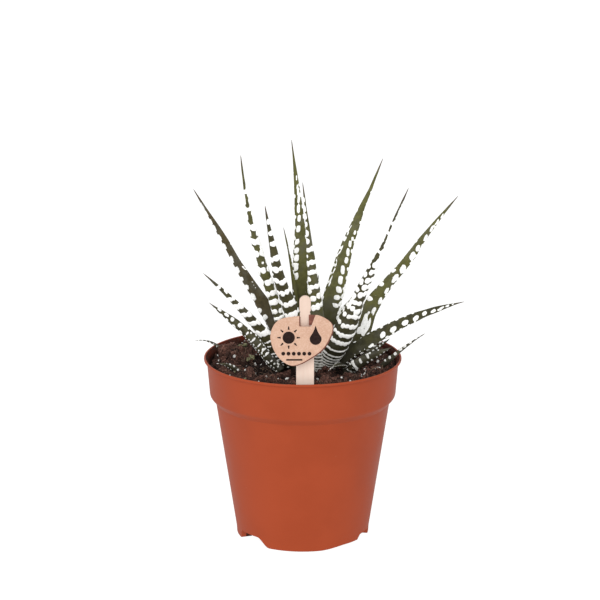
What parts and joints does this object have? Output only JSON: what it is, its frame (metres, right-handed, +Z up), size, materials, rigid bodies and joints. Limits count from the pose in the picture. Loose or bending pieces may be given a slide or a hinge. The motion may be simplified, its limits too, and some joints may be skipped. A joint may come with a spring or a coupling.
{
  "type": "potted haworthia",
  "caption": "Zebra-banded haworthia rosette with raised pale bands on pointed leaves and small offsets, growing in soil in a tapered plastic nursery pot with a wooden stick and card tag.",
  "frame": {"origin": "under the middle of the bounding box, on the surface that the pot stands on", "axes": "+Z up; -Y towards the pictured front, where the stick and tag are; +X to the right as seen from the front"},
  "size_m": [0.1242, 0.1054, 0.1828],
  "materials": {
    "pot": "smooth moulded terracotta-coloured plastic with a soft sheen",
    "soil": "crumbly dark potting soil with white grit",
    "leaf": "waxy olive green with raised white bands",
    "young_leaf": "waxy dark green with rows of small white dots",
    "stick": "unfinished pale sawn wood",
    "tag": "uncoated speckled kraft card"
  },
  "bodies": {
    "root": {"pot": "pot", "soil": "soil", "crown": "young_leaf", "leaf_tall_front": "leaf", "leaf_broad_right": "leaf", "leaf_low_right": "leaf", "leaf_low_left": "leaf", "leaf_left": "leaf", "leaf_front_left": "leaf", "leaf_long_right": "leaf", "leaf_tall_left": "leaf", "leaf_back_right": "leaf", "leaf_back_middle": "leaf", "leaf_back_left": "leaf", "leaf_far_right": "leaf", "leaf_left_long": "leaf", "leaf_tall_right": "leaf", "leaf_tall_middle": "leaf", "leaf_thin_back": "leaf", "offset_front_right": "young_leaf", "offset_right_rim": "young_leaf", "offset_left_front": "young_leaf", "offset_left_back": "young_leaf", "stick": "stick", "tag": "tag"}
  },
  "joints": []
}
